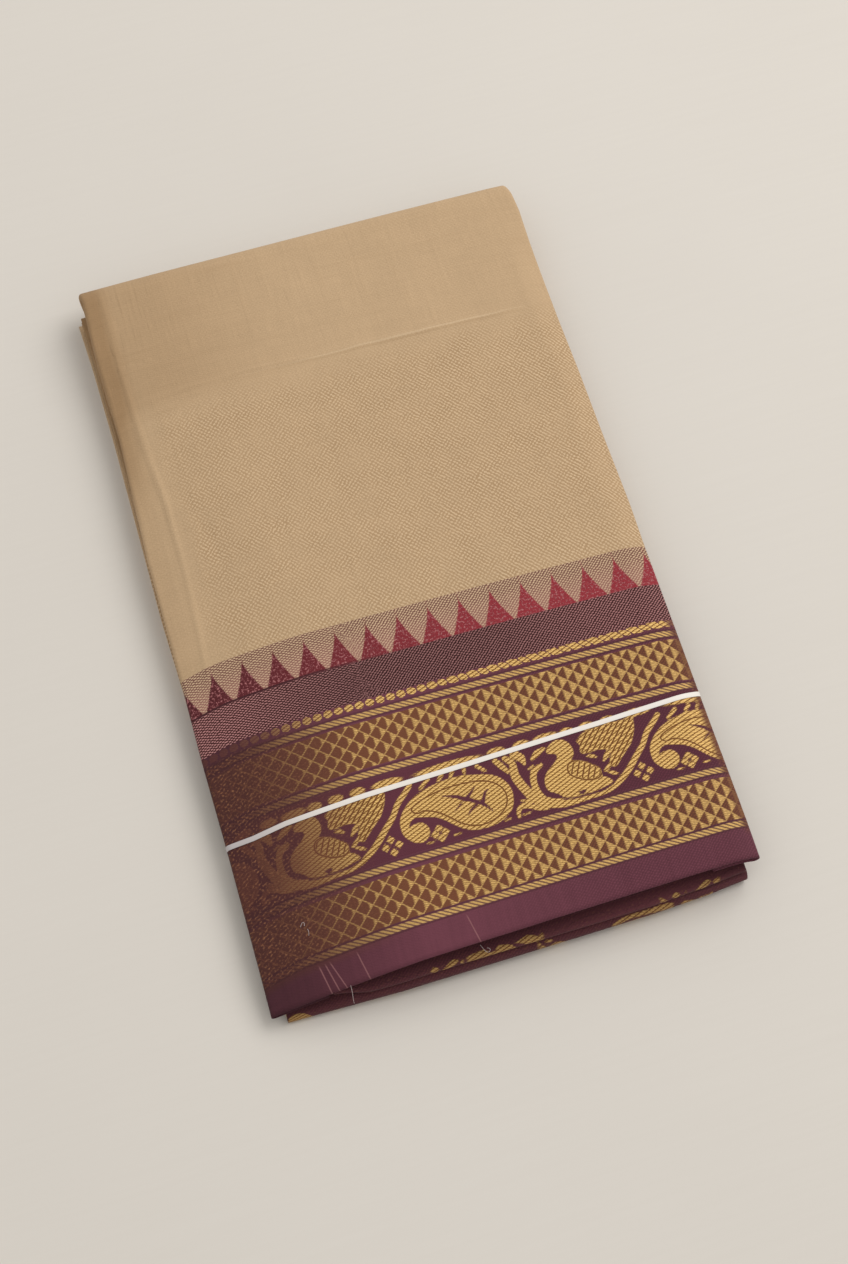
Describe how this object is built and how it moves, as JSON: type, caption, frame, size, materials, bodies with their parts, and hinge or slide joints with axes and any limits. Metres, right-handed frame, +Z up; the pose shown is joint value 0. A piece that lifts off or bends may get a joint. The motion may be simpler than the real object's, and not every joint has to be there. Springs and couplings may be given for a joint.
{
  "type": "folded cotton saree",
  "caption": "Cotton saree folded into a flat, slightly leaning pack with its woven border across the front end, tied by a thin flat band.",
  "frame": {"origin": "on the table under the middle of the pack's box", "axes": "+X along the woven border, +Y from the open selvedge at the front to the fold at the back, +Z up"},
  "size_m": [0.2416, 0.3858, 0.0231],
  "materials": {
    "leaf_cloth": "plain woven cotton, beige, with a maroon and gold woven border",
    "border_cloth": "plain woven cotton, maroon, with gold thread figures",
    "under_cloth": "plain woven cotton, maroon front fold and beige field",
    "folded_layers": "stacked plies of plain woven cotton",
    "band": "smooth white strip"
  },
  "bodies": {
    "root": {"top_leaf": "leaf_cloth", "middle_fold": "border_cloth", "under_leaf": "under_cloth", "upper_folds": "folded_layers", "lower_folds": "folded_layers", "tie_band": "band"}
  },
  "joints": []
}
